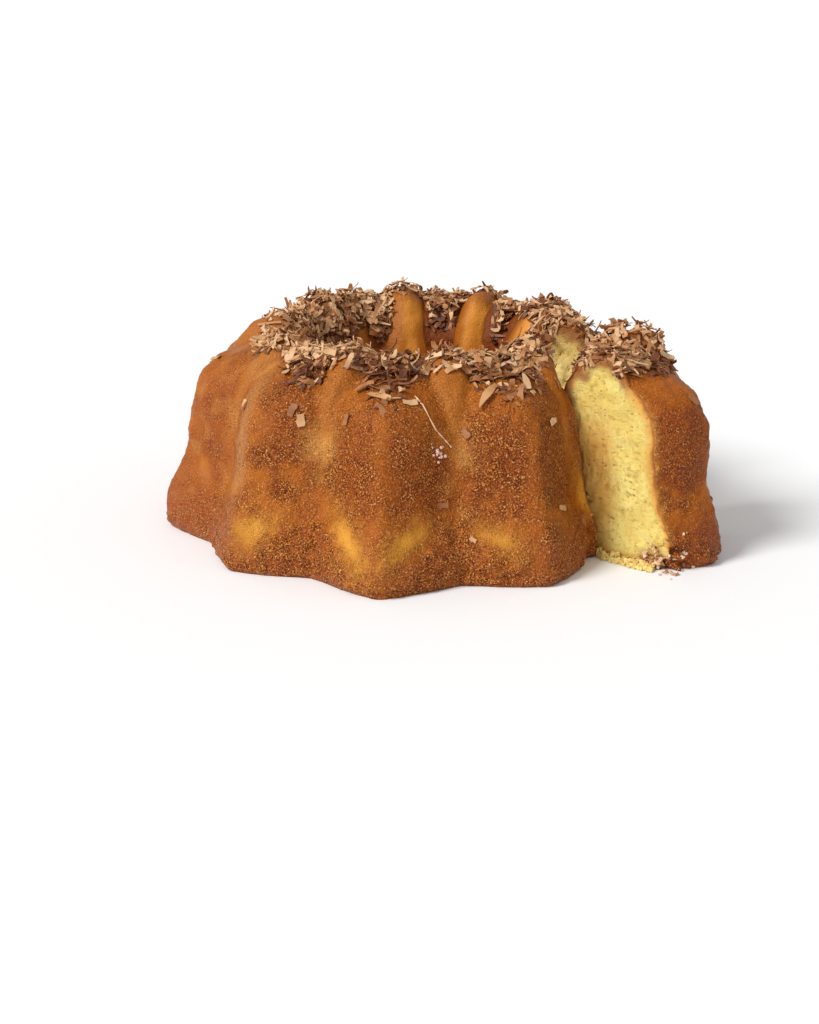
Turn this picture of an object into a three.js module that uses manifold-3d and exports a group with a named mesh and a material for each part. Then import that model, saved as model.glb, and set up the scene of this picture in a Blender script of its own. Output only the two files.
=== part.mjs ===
// A fluted ring cake with one slice drawn outwards and chocolate shavings heaped on its crown.
// Millimetres, +Z up, standing on z = 0. The drawn slice is towards +X and -Y.

import * as THREE from 'three';
import { mergeVertices } from 'three/addons/utils/BufferGeometryUtils.js';
import Module from 'manifold-3d';

const { degToRad } = THREE.MathUtils;

// Where the ring's axis stands, which puts the middle of the whole object's box at the origin
const AXIS_X = -7.2;
const AXIS_Y = 1.8;

// The flutes
const FLUTES = 10;
const FIRST_RIDGE = degToRad(-98);
const CROWDING = 0.05; // how much closer together the flutes are at the front than at the back
const UNEVEN_RIDGES = 0.12; // share by which the ridges differ in height
const UNEVEN_WAVES = 5;
const TALLEST_RIDGE = degToRad(-28.7);
const LEAN = 0.03; // share by which the back is taller and the front lower

// The line along a side groove, over a petal of the crown and down the hole's wall, as radius and height
const PETAL_LINE = [
  [94.5, 0], [95, 9], [92, 19], [88.3, 32], [86, 50], [81.5, 66], [72, 79.5],
  [64, 83.4], [55.5, 81], [46.5, 67], [39.5, 44], [33.5, 18], [30, 0],
];
const CREST = 83.4;

// The way is the height up the outside, which goes on growing over the crest and down the hole.
// Each table gives an offset out of the petal line at some ways.
const LOBE_RIDGE = [
  [0, 15.5], [10, 16], [28, 13.8], [45, 12.6], [58, 11.8], [66, 8], [72, 2], [80, -5], [88, -7], [165, -4],
];
const LOBE_EDGE = [[0, 3], [14, 2], [28, 0], [46, 0], [60, -2.5], [72, -6.5], [84, -8], [165, -5]];
const PETAL_SINK = [[0, -9], [40, -6], [52, -0.6], [58, 0]];
const PETAL_HALF_WIDTH = [[50, 9], [68, 11], [84, 9.5], [120, 7.5], [165, 6]];
const TABLE_SOFTNESS = 3;
const RIDGE_ROUNDING = 0.06; // as a share of half a flute
const GABLE_REACH = 0.86; // share of half a flute that a lobe's sloping side takes up
const GABLE_SOFTNESS = 0.35;
const DOME_POWER = 2.2;
const GABLE_TO_DOME = [[48, 0], [70, 1]];
const PETAL_DROP = 7;
const PETAL_POWER = 2.5;
const PETAL_REACH = 1.6;
const JOIN_SOFTNESS = 1.5;
const FOOT_UPRIGHT = 10; // below this height the offset is mostly sideways, so that the foot stays flat

// Where the cake is drawn in a little: the foot of the slice's lobe, the groove at the near cut and the lobe
// towards -X
const DRAWN_IN = [
  { at: degToRad(-26), wide: degToRad(16), depth: 7, ways: [[0, 1], [15, 0.8], [30, 0.62], [55, 0]] },
  { at: degToRad(-43), wide: degToRad(7), depth: 2.6, ways: [[0, 0.6], [20, 1], [50, 1], [64, 0]] },
  { at: degToRad(-168), wide: degToRad(14), depth: 3, ways: [[0, 0.7], [30, 1], [48, 0.9], [66, 0]] },
];

// The heap of shavings that fills the crown between the petals
const HEAP_LEVEL = -2.5;
const HEAP_WAY = 90;
const HEAP_REACH = 15;
const HEAP_FALL = 3;
const HEAP_POWER = 4;

// The slice
const CUT_NEAR = degToRad(-41.5);
const CUT_FAR = degToRad(-6.5);
const SLICE_OUT = 31; // drawn out along the near cut
const SLICE_CLEAR = 1; // and moved this far off it

// Single shavings, the largest first
const SHAVINGS_PER_FLUTE = 12;
const SHAVING_LONG = [13, 7];
const SHAVING_WIDE = [3.6, 2.4];
const SHAVING_THICK = 1.2;
const SHAVING_BEND = 1.6;
const SHAVING_LIFT = 0.5;
const SHAVING_WAYS = [71, 112];
const SHAVING_ACROSS = 0.8; // share of a flute's width over which they lie
const SHAVING_TILT = degToRad(24);
const SHAVING_CLEAR_OF_CUT = 8.5;
const SHAVING_JITTER = 0.3; // share of a flute by which each is moved to one side
const SHAVING_STRIDE = 7; // places along the crown from one to the next in a flute
const SHAVING_SHIFT = 3; // and from one flute to the next
const SHAVING_SEED = 20;
const GOLDEN = (Math.sqrt(5) - 1) / 2;

// Facets
const STEPS_PER_FLUTE = 12;
const SHORTEST_STEP = 0.3;
const STATIONS = 25;
const NUDGE = 0.01; // a small angle, in radians
const CROWDING_ROUNDS = 8;

const CRUST_COLOUR = 0xb8682a;
const CRUST_ROUGHNESS = 0.6;

// Straight-line reading of a table of [way, value], averaged a little to both sides
function ramp(table, way) {
  const next = table.findIndex(([place]) => place > way);
  if (next === 0) return table[0][1];
  if (next < 0) return table[table.length - 1][1];
  const [fromWay, from] = table[next - 1];
  const [toWay, to] = table[next];
  return THREE.MathUtils.mapLinear(way, fromWay, toWay, from, to);
}

function read(table, way) {
  const taps = [-2, -1, 0, 1, 2];
  return taps.reduce((sum, tap) => sum + ramp(table, way + tap * TABLE_SOFTNESS), 0) / taps.length;
}

function smoothMax(a, b, softness) {
  const share = THREE.MathUtils.clamp(0.5 + (0.5 * (a - b)) / softness, 0, 1);
  return THREE.MathUtils.lerp(b, a, share) + softness * share * (1 - share);
}

// Points along the petal line, each with the direction out of the cake and its way
function makeStations() {
  const line = new THREE.SplineCurve(PETAL_LINE.map(([r, z]) => new THREE.Vector2(r, z)));
  const places = Array.from({ length: STATIONS }, (_, i) => i / (STATIONS - 1));
  let overCrest = false;
  let lastHeight = -1;
  return places.map((place) => {
    const point = line.getPointAt(place);
    const along = line.getTangentAt(place);
    overCrest = overCrest || point.y < lastHeight;
    lastHeight = point.y;
    return {
      r: point.x,
      z: point.y,
      outR: along.y,
      outZ: -along.x * Math.min(1, point.y / FOOT_UPRIGHT),
      way: overCrest ? 2 * CREST - point.y : point.y,
    };
  });
}

// The count of flutes from the first ridge to an angle, whole on a ridge and half in a petal
function fluteAt(angle) {
  const turned = angle - FIRST_RIDGE;
  return ((turned + CROWDING * Math.sin(turned)) * FLUTES) / (2 * Math.PI);
}

// The angle at which such a count is reached, found by a few steps back through the crowding
function angleOfFlute(flute) {
  const wanted = (flute * 2 * Math.PI) / FLUTES;
  let turned = wanted;
  for (let round = 0; round < CROWDING_ROUNDS; round += 1) {
    turned = wanted - CROWDING * Math.sin(turned);
  }
  return FIRST_RIDGE + turned;
}

// Where an angle lies among the flutes: 0 on a lobe's ridge, 1 in the middle of a petal
function awayFromRidge(angle) {
  const flute = fluteAt(angle);
  return 2 * Math.abs(flute - Math.round(flute));
}

// How far the surface is drawn in
function drawnIn(angle, way) {
  return DRAWN_IN.reduce((sum, { at, wide, depth, ways }) => {
    const turned = THREE.MathUtils.euclideanModulo(angle - at + Math.PI, 2 * Math.PI) - Math.PI;
    return sum + depth * Math.exp(-((turned / wide) ** 2)) * read(ways, way);
  }, 0);
}

// How far the surface stands out of the petal line
function offset(angle, station) {
  const { way, r } = station;
  const t = awayFromRidge(angle);
  const rounded = Math.hypot(t, RIDGE_ROUNDING) - RIDGE_ROUNDING;
  const gable = smoothMax(1 - rounded / GABLE_REACH, 0, GABLE_SOFTNESS);
  const dome = 1 - t ** DOME_POWER;
  const shape = THREE.MathUtils.lerp(gable, dome, read(GABLE_TO_DOME, way));
  const uneven = 1 + UNEVEN_RIDGES * Math.cos(UNEVEN_WAVES * (angle - TALLEST_RIDGE));
  const ridge = read(LOBE_RIDGE, way);
  const lobe = THREE.MathUtils.lerp(read(LOBE_EDGE, way), ridge > 0 ? ridge * uneven : ridge, shape);
  const halfFlute = (Math.PI * r) / FLUTES;
  const across = Math.min(((1 - t) * halfFlute) / read(PETAL_HALF_WIDTH, way), PETAL_REACH);
  const petal = read(PETAL_SINK, way) - PETAL_DROP * across ** PETAL_POWER;
  const heap = HEAP_LEVEL - HEAP_FALL * ((way - HEAP_WAY) / HEAP_REACH) ** HEAP_POWER;
  const joined = smoothMax(smoothMax(lobe, petal, JOIN_SOFTNESS), heap, JOIN_SOFTNESS);
  return joined - drawnIn(angle, way);
}

function surfacePoint(angle, station) {
  const out = offset(angle, station);
  const r = station.r + out * station.outR;
  const z = Math.max(0, station.z + out * station.outZ) * (1 + LEAN * Math.sin(angle));
  return new THREE.Vector3(r * Math.cos(angle), r * Math.sin(angle), z);
}

// The two cuts' angles and, between them, angles that fall on every ridge and petal
function wedgeAngles(fromAngle, toAngle) {
  const first = Math.ceil(fluteAt(fromAngle) * STEPS_PER_FLUTE + SHORTEST_STEP);
  const last = Math.floor(fluteAt(toAngle) * STEPS_PER_FLUTE - SHORTEST_STEP);
  const angles = [fromAngle];
  for (let step = first; step <= last; step += 1) {
    angles.push(angleOfFlute(step / STEPS_PER_FLUTE));
  }
  return [...angles, toAngle];
}

// A closed wedge of the ring between two angles, with a flat underside and two flat cut faces
function wedge(fromAngle, toAngle, stations) {
  const angles = wedgeAngles(fromAngle, toAngle);
  const steps = angles.length - 1;
  const rows = stations.length;
  const points = angles.flatMap((angle) => stations.map((station) => surfacePoint(angle, station)));
  const index = [];
  for (let step = 0; step < steps; step += 1) {
    for (let row = 0; row < rows; row += 1) {
      const a = step * rows + row;
      const d = step * rows + ((row + 1) % rows);
      index.push(a, a + rows, d + rows, a, d + rows, d);
    }
  }
  addCutFace(points, index, 0, rows, false);
  addCutFace(points, index, steps * rows, rows, true);
  const geometry = new THREE.BufferGeometry().setFromPoints(points);
  geometry.setIndex(index);
  return geometry;
}

function addCutFace(points, index, first, rows, facesOn) {
  const edge = points.slice(first, first + rows);
  const outline = edge.map((point) => new THREE.Vector2(Math.hypot(point.x, point.y), point.z));
  THREE.ShapeUtils.triangulateShape(outline, []).forEach(([a, b, c]) => {
    const counterClockwise = THREE.ShapeUtils.area([outline[a], outline[b], outline[c]]) > 0;
    const [second, third] = counterClockwise === facesOn ? [c, b] : [b, c];
    index.push(first + a, first + second, first + third);
  });
}

// Closed meshes as solids that can be joined, and back
const wasm = await Module();
wasm.setup();

function toSolid(geometry) {
  return new wasm.Manifold(new wasm.Mesh({
    numProp: 3,
    vertProperties: new Float32Array(geometry.getAttribute('position').array),
    triVerts: new Uint32Array(geometry.getIndex().array),
  }));
}

function toGeometry(solid) {
  const mesh = solid.getMesh();
  const geometry = new THREE.BufferGeometry();
  geometry.setAttribute('position', new THREE.BufferAttribute(mesh.vertProperties, 3));
  geometry.setIndex(new THREE.BufferAttribute(mesh.triVerts, 1));
  geometry.computeVertexNormals();
  return geometry;
}

// The same draws every time
function makeDraw(seed) {
  let state = seed;
  return () => {
    state = (Math.imul(state, 1664525) + 1013904223) >>> 0;
    return state / 2 ** 32;
  };
}

// One bent strip, lying in its own XY plane
function shavingStrip(share) {
  const long = THREE.MathUtils.lerp(...SHAVING_LONG, share);
  const wide = THREE.MathUtils.lerp(...SHAVING_WIDE, share);
  const strip = new THREE.BoxGeometry(long, wide, SHAVING_THICK, 2, 1, 1);
  const position = strip.getAttribute('position');
  for (let i = 0; i < position.count; i += 1) {
    const along = position.getX(i) / long;
    position.setZ(i, position.getZ(i) - SHAVING_BEND * along * along);
  }
  strip.deleteAttribute('normal');
  strip.deleteAttribute('uv');
  return mergeVertices(strip);
}

// Turns the strip's Z axis to the surface's outward direction at a place on the crown
function layOn(angle, station, draw) {
  const { outR, outZ } = station;
  const point = surfacePoint(angle, station);
  const tangent = surfacePoint(angle + NUDGE, station).sub(point).normalize();
  const out = new THREE.Vector3(outR * Math.cos(angle), outR * Math.sin(angle), outZ);
  const normal = out.addScaledVector(tangent, -out.dot(tangent)).normalize();
  const placed = new THREE.Matrix4().makeBasis(tangent, normal.clone().cross(tangent), normal);
  placed.setPosition(point.addScaledVector(normal, SHAVING_LIFT));
  const turn = new THREE.Matrix4().makeRotationZ(draw() * Math.PI);
  const tilt = new THREE.Matrix4().makeRotationY((2 * draw() - 1) * SHAVING_TILT);
  return placed.multiply(turn).multiply(tilt);
}

function distanceToCut(point, cut) {
  return Math.abs(point.y * Math.cos(cut) - point.x * Math.sin(cut));
}

// Shavings spread evenly over every flute's part of the crown, sorted into ring and slice
function makeShavings(stations) {
  const draw = makeDraw(SHAVING_SEED);
  const crown = stations.filter(({ way }) => way > SHAVING_WAYS[0] && way < SHAVING_WAYS[1]);
  const onRing = [];
  const onSlice = [];
  for (let i = 0; i < SHAVINGS_PER_FLUTE; i += 1) {
    const share = i / SHAVINGS_PER_FLUTE;
    for (let flute = 0; flute < FLUTES; flute += 1) {
      const across = ((i * GOLDEN + draw() * SHAVING_JITTER) % 1) - 0.5;
      const angle = angleOfFlute(flute + across * SHAVING_ACROSS);
      const row = (i * SHAVING_STRIDE + flute * SHAVING_SHIFT) % SHAVINGS_PER_FLUTE;
      const station = crown[Math.floor((row / SHAVINGS_PER_FLUTE) * crown.length)];
      const place = layOn(angle, station, draw);
      const point = new THREE.Vector3().setFromMatrixPosition(place);
      const clear = Math.min(distanceToCut(point, CUT_NEAR), distanceToCut(point, CUT_FAR));
      if (clear < SHAVING_CLEAR_OF_CUT && point.x > 0) continue;
      const turned = Math.atan2(point.y, point.x);
      const list = turned > CUT_NEAR && turned < CUT_FAR ? onSlice : onRing;
      list.push(toSolid(shavingStrip(share).applyMatrix4(place)));
    }
  }
  return { onRing, onSlice };
}

// Joins the shavings to the body they lie on, keeping only the one body that comes of it
function dressed(body, shavings) {
  const whole = shavings.reduce((sum, shaving) => sum.add(shaving), toSolid(body));
  const bodies = whole.decompose().sort((a, b) => b.volume() - a.volume());
  return toGeometry(bodies[0]);
}

function cakePart(name, geometry) {
  const look = { color: CRUST_COLOUR, roughness: CRUST_ROUGHNESS, metalness: 0 };
  const mesh = new THREE.Mesh(geometry, new THREE.MeshStandardMaterial(look));
  mesh.name = name;
  return mesh;
}

const stations = makeStations();
const { onRing, onSlice } = makeShavings(stations);
const ring = cakePart('cake_ring', dressed(wedge(CUT_FAR, CUT_NEAR + 2 * Math.PI, stations), onRing));
const slice = cakePart('cake_slice', dressed(wedge(CUT_NEAR, CUT_FAR, stations), onSlice));
slice.position.set(
  SLICE_OUT * Math.cos(CUT_NEAR) - SLICE_CLEAR * Math.sin(CUT_NEAR),
  SLICE_OUT * Math.sin(CUT_NEAR) + SLICE_CLEAR * Math.cos(CUT_NEAR),
  0,
);

const cake = new THREE.Group();
cake.add(ring, slice);
cake.position.set(AXIS_X, AXIS_Y, 0);

export default cake;
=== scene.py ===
# The looks of a sliced ring cake with shavings on its crown, in millimetres and degrees

import math

import bmesh
import bpy
import numpy as np
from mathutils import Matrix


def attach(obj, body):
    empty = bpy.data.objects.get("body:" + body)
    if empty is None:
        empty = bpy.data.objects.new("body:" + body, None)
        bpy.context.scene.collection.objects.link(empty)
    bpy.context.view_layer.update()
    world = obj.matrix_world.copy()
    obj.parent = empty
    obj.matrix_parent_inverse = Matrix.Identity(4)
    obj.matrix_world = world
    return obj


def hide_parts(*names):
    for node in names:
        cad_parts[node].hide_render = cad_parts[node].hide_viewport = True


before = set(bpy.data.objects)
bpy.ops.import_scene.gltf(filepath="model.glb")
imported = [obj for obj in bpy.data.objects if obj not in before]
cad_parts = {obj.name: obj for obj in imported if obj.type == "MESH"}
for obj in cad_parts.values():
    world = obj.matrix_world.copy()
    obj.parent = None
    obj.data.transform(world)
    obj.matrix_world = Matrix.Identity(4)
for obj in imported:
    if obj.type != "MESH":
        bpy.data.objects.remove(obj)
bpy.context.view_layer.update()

# Meshes are made in metres
MM = 0.001

# The form, as in the solids. A way is the height outside, counted on over the crest and down the hole
AXIS = (-7.2, 1.8)
FLUTES = 10
FIRST_RIDGE = -98
CROWDING = 0.05
UNEVEN_RIDGES = 0.12
UNEVEN_WAVES = 5
TALLEST_RIDGE = -28.7
LEAN = 0.03
CREST = 83.4
PETAL_LINE = [
    (94.5, 0), (95, 9), (92, 19), (88.3, 32), (86, 50), (81.5, 66), (72, 79.5),
    (64, 83.4), (55.5, 81), (46.5, 67), (39.5, 44), (33.5, 18), (30, 0),
]
LOBE_RIDGE = [
    (0, 15.5), (10, 16), (28, 13.8), (45, 12.6), (58, 11.8),
    (66, 8), (72, 2), (80, -5), (88, -7), (165, -4),
]
LOBE_EDGE = [(0, 3), (14, 2), (28, 0), (46, 0), (60, -2.5), (72, -6.5), (84, -8), (165, -5)]
PETAL_SINK = [(0, -9), (40, -6), (52, -0.6), (58, 0)]
PETAL_HALF_WIDTH = [(50, 9), (68, 11), (84, 9.5), (120, 7.5), (165, 6)]
GABLE_TO_DOME = [(48, 0), (70, 1)]
TABLE_SOFTNESS = 3
RIDGE_ROUNDING = 0.06
GABLE_REACH = 0.86
GABLE_SOFTNESS = 0.35
DOME_POWER = 2.2
PETAL_DROP = 7
PETAL_POWER = 2.5
PETAL_REACH = 1.6
JOIN_SOFTNESS = 1.5
FOOT_UPRIGHT = 10
HEAP_LEVEL = -4
HEAP_WAY = 90
HEAP_REACH = 15
HEAP_FALL = 3
HEAP_POWER = 4

# The cuts, how far the slice is drawn along and clear of the near one, and the angle that the knife took
CUT_NEAR = -41.5
CUT_FAR = -6.5
SLICE_OUT = 31
SLICE_CLEAR = 1
KNIFE_CUT = 0.02

# Places drawn in (fuller if negative) as angle, spread, depth, share past the near cut and shares by way
DRAWN_IN = [
    (-26, 16, 7, 1, [(0, 1), (15, 0.8), (30, 0.58), (42, 0.14), (55, 0)]),
    (-43, 7, 2.6, 1, [(0, 0.6), (20, 1), (50, 1), (64, 0)]),
    (-168, 14, 3, 1, [(0, 0.7), (30, 1), (48, 0.9), (66, 0)]),
    (CUT_NEAR, 5.5, 3.4, 0.5, [(44, 0), (56, 0.8), (66, 1), (76, 0.9), (84, 0)]),
    (176, 12, -1.8, 1, [(54, 0), (66, 1), (78, 1), (86, 0)]),
    (95, 8, -2.5, 1, [(68, 0), (79, 1), (90, 1), (104, 0)]),
    (61, 8, -3, 1, [(68, 0), (79, 1), (90, 1), (104, 0)]),
    (-13, 6, -4.4, 1, [(76, 0), (87, 1), (102, 1), (114, 0)]),
    (-39.5, 5, -3.4, 1, [(84, 0), (93, 0.8), (102, 1), (114, 0.6), (130, 0)]),
    (-172, 12, 2.5, 1, [(0, 1), (6, 0)]),
    (-12, 9, 2.5, 1, [(0, 1), (6, 0)]),
]

# How far the flutes are turned at the far side of the crown, as angle, spread and turn
FAR_TURNS = [(88, 24, 4.4), (40, 14, -3)]
TURNED_WAYS = (66, 84)

# How finely the surfaces are split, with lengths round the ring taken at the rim
RIM_RADIUS = 100
RING_STEP = 1.35
SLICE_STEP = 0.75
HOLE_COARSER = 2.2
HOLE_WAY = 115
BASE_ROWS = 24
LINE_STEPS = 4000
RING_CUT_RINGS = 42
SLICE_CUT_RINGS = 64
SLOPE_TURN = 0.3
SLOPE_RUN = 0.5

# Relief of the crust, as wavelength and height, and how it fades to the foot
LUMPS = (26, 0.45)
WAVES = (9, 0.28)
GRAIN = (3.4, 0.2)
SKIRT_LUMPS = (6.5, 0.6)
SKIRT_GRAIN = (3, 0.28)
RELIEF_FULL_FROM = 2.5
RELIEF_AT_FOOT = 0.25

# The ragged ledge round the foot, higher in the grooves
LEDGE_OUT = 1.0
LEDGE_HEIGHT = 3.5
LEDGE_RISE = 20
LEDGE_STEP = 3.4
LEDGE_WAVER = (14, 1.5)
LEDGE_TEETH = (5, 0.9)
LEDGE_GRAIN = (2, -2)

# Ways and heights between which the looks of the inside, the petals, the heap and the skirt change
INSIDE_WAYS = (CREST, CREST + 6)
PETAL_EDGE = (-1, 1.5)
# The inside petals lose their orange across the flank that the key light brightens, a painted shade that
# evens out their light
PETAL_SHADE = (-0.3, 0.25)
HEAP_EDGE = (-0.6, 0.6)
SKIRT_WAYS = (26, 8)
SKIRT_THINS = (12, 30)

# Pale patches above the skirt, as angle, way, half length, half width, lean and strength
PATCHES = [
    (-127.5, 14.5, 7.5, 5.5, 14, 0.8), (-105.1, 14.8, 12.5, 4.6, -58, 1), (-92.5, 16.5, 9, 4, 38, 0.86),
    (-72.8, 15.5, 8, 4.4, -39, 0.7), (14, 15, 8, 4, 38, 0.7), (38, 15, 9, 4, -38, 0.8),
    (50, 16, 7, 4, 38, 0.6), (76, 15, 9, 4, -38, 0.8), (113, 16, 8, 4, -38, 0.7),
    (126, 15, 9, 4, 38, 0.8), (151, 15, 8, 4, -38, 0.6), (163, 16, 8, 4, 38, 0.5),
    (-43.4, 25, 10, 4.6, 90, 1),
]
PATCH_RAGGED = [(6, 0.35), (2.2, 0.2)]

# Wavelengths of the crust's unevenness in colour
BLOTCH = 45
MOTTLE = 13
FLECKS = 11

# Ways between which browning begins, is full, fades and ends, and its flanks in shares of a half flute
BROWNED_WAYS = (16, 34, 54, 72)
BROWNED_MOTTLE = 3.5
BROWNED_RAGGED = (5, 2.5)
# The browning of the right flanks is partly painted shade, as they face away from the key light; the
# ridge between the flanks is left lighter, partly a painted highlight
SHADED_RIGHT_FLANK = (0.02, 0.14, 0.58, 0.98)
LEFT_FLANK = (0.04, 0.28, 0.7, 1.05)
BROWN_LOW = (30, 8)
BROWN_FOOT = (16, 6)
# Darker crust just below the shavings' edge, as reach and flanks: partly chocolate stain and partly
# painted shade under the shavings
STAIN_AND_SHADE_REACH = (9, 1)
STAIN_AND_SHADE_FLANK = (0.9, 0.6)

# The grooves, as share of a half flute and ways, and the way round which they are lightest, where a
# painted highlight lies on them
GROOVE_FROM = 0.55
GROOVE_WAYS = (14, 30, 56, 66)
HIGHLIGHT_WAY = (52, 9)
HIGHLIGHT_WAVE = 9

# The way round which the most browned side is lighter, and its spread
LIGHTER_WAY = (24, 8)

# Sides that are less and more browned, as angle and spread; the more browned one, on the slice's side, is
# partly painted shade
PALE_SIDE = (-170, 24)
BROWN_AND_SHADE_SIDE = (-28, 24)
HIGHER_BROWN = (-126, 12)
HIGHER_BY = 12
# Where one lobe's left flank is browned less, partly painted light, as that flank is seen at a grazing
# angle and falls in shade
PALE_FLANK = (-144, 9)

# Pale places besides the grooves, as angle, spread, ways as for browning and share: a line up the ring's
# near cut, a band beside a ridge and a petal's top, partly painted highlights
PALE_AND_HIGHLIGHT_PLACES = [
    (CUT_NEAR, 1.1, (-2, -1, 66, 74), 0.8), (-137.5, 3.4, (18, 32, 62, 74), 0.6),
    (-146, 6, (66, 72, 78, 84), 1),
]

# Places browned more or less than those round them, as angle, spread, way, spread along it and share; the
# one at -88 is browned less as painted light on a flank in shade
BROWNED_AND_PAINTED_LIGHT_PLACES = [
    (-159, 8, 72, 8, 0.35), (-136.5, 4, 24, 6, 0.6), (-131.5, 6, 8, 6, 0.25), (-115.5, 5, 71, 6, 0.3),
    (-112.5, 4, 40, 9, 0.8), (-103, 4, 42, 8, 0.3), (-88, 4, 58, 8, -0.4), (-83.5, 4, 38, 9, 0.3),
    (-83, 5, 8, 5, -0.4), (-76.5, 4, 59, 7, 0.45), (-71.5, 5, 25, 7, 0.35), (-36, 6, 62, 7, -0.25),
    (-34, 6, 25, 7, -0.25), (-36, 6, 9, 5, 0.5), (-123.5, 4, 67, 6, -0.3),
]

# Where the crust shows between the shavings down the hole, as angle and spread, and the ways it begins
# at; it is painted a lighter orange there, partly painted light against the hole's shade
BARE_INSIDE = (119.5, 6)
BARE_WAYS = (86, 91)

# Foot corners crumbled at the near cut, as reach, depth, and turn and rise of the way they are worn back
CHIP_RADIUS = 96
CHIP_INWARD = 22
RING_CHIP = (16, 4, 12, 10)
SLICE_CHIP = (18, 5.5, 3, 4)
CHIP_LUMPS = (4, 0.5)

# The cut faces
CUT_CENTRE = (64, 36)
CUT_LUMPS = (11, 0.35)
CUT_TEARS = (3, 0.22)
CUT_ROUNDING = (3.2, 1.0)
TEAR_FLATNESS = 0.45
SMEAR_WAYS = (70, 78, 104, 120)
SMEAR_DEPTH = (9, 3)
SMEAR_RAGGED = (7, 1.6)
# A darker brown round the foot corner of the slice's near cut, laid with the smear
CORNER_BROWN = (11, 4)
CORNER_BROWN_RADIUS = 89
CORNER_RAGGED = (3, 2)
# Where the slice's near cut is painted a warmer, darker orange, a painted shade with the orange light of
# the ring's crust, as radii and heights
PAINTED_SHADE_RADII = (73, 63)
PAINTED_SHADE_HEIGHTS = (64, 44)
PITS_PER_CUT = 130
PIT_RADIUS = (0.35, 1.4)
PIT_DEPTH = 0.6
PIT_STRETCH = 1.8
PIT_RAGGED = (1.8, 0.6)
PIT_EDGE = (1, 3)

# Shavings
SHAVINGS = 5200
SHAVING_LONG = (2.4, 10.5)
SHAVING_WIDE = (0.8, 2.7)
SHAVING_TAPER = (0, 0.6)
SHAVING_THICK = 0.3
SHAVING_SEGMENTS = 4
SHAVING_CURL = (0.25, 1.4)
SHAVING_TWIST = 0.9
SHAVING_TILT = 15
SHAVING_SHARP = 50
SHAVING_CLEAR = 0.4
STANDING_SHARE = 0.03
STANDING_TILT = (45, 80)
STANDING_RISE = 1.3
HEAP_DEPTH = 3.2
HEAP_PETAL = (0.3, 0.66)
HEAP_RAGGED = 1.3
CLEAR_OF_CUT = 0.4

# The outer and the inner edge of the shavings round the ring, as angle and way
HEAP_OUTER = [
    (-180, 85), (-174, 83), (-167, 80.5), (-160, 77.5), (-152, 79), (-142, 81), (-133, 76), (-126, 70),
    (-121.5, 72.5), (-117.5, 80), (-107.5, 80), (-102, 68), (-99, 66), (-95, 68.5), (-91, 79),
    (-76.5, 79.5), (-70.5, 69), (-64, 67), (-56, 69), (-51, 75), (-47, 80), (-42, 82), (-41, 82),
    (-37, 78.5), (-29, 73), (-13, 70), (-7, 72), (0, 70), (12, 68), (25, 77), (35, 72), (45, 68),
    (60, 77), (71, 70), (83, 68), (97, 77), (109, 70), (124, 68), (138, 79), (150, 77), (162, 78.5),
    (174, 85),
]
HEAP_INNER = [
    (-42, 108), (-41, 90), (-34, 93), (-28, 106), (-7, 108), (11, 106), (16, 102), (20, 86), (41, 85),
    (44, 98), (49, 98), (52, 81.5), (69.5, 81.5), (72.5, 95), (83.5, 95), (87, 82.5), (102, 82.5),
    (106, 98), (114, 100), (117, 92), (121, 92), (125, 99), (148, 100), (160, 103), (180, 108),
]

# Piles of more shavings, as angle, spread, extra depth and count
PILES = [
    (-35, 4, 2.6, 80), (-13, 5, 1.6, 210), (-48, 4, 2.2, 110), (6, 5, 3, 120), (22, 8, 4.2, 150),
    (91.5, 4, 4, 90), (61, 7, 2, 70), (129, 8, 4.2, 150), (113, 5, 3.4, 90), (162, 5, 2.6, 70),
    (83, 4, 2.6, 70), (70, 3, 2.6, 50), (-118, 9, 2, 110), (-98, 6, 1.4, 80), (-76, 7, 2, 70),
    (138, 7, 1.2, 110),
]

# The kinds of shavings, as share where they are neither paler nor darker, dull colour and bright colour;
# the darker kinds stand partly for shavings in shade, a painted shade
KINDS = {
    "shavings_pale": (0.46, (190, 136, 84), (230, 190, 144)),
    "shavings_brown": (0.36, (142, 84, 42), (192, 132, 82)),
    "shavings_dark": (0.18, (92, 46, 18), (142, 82, 42)),
}

# Where shavings are paler or darker, as angle, spread, way, spread along it and share, by way, and on
# top; those higher up are paler, partly painted light, and those low on the outside or deep in the hole
# darker, partly painted shade
PALER = [
    (-127, 18, 88, 10, 0.5), (-125.5, 4.5, 77.5, 3.5, -1.2), (-99, 10, 80, 8, -0.5),
    (-58, 9, 80, 14, -0.1), (-26, 16, 85, 30, -0.16), (115, 30, 90, 30, -0.04), (79, 7, 94, 9, -0.6),
    (47, 6, 94, 9, -0.4), (-110, 6, 82, 5, -0.2), (-162, 10, 88, 12, 0.35), (22, 10, 85, 20, -0.25),
    (-18, 8, 88, 14, 0.2),
]
PALER_WAYS = [(66, -0.18), (76, -0.12), (81, 0.12), (90, 0.12), (98, -0.2)]
PALER_ABOVE = 0.3

# Shavings that hang over the top edges of cuts, as cut, count, ways, drop and whether on the slice
HANGING = [(CUT_NEAR, 24, (79, 91), 1.5, True), (CUT_FAR, 44, (74, 100), 3, False)]
HANGING_LIFT = (-1, 0.6)

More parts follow.
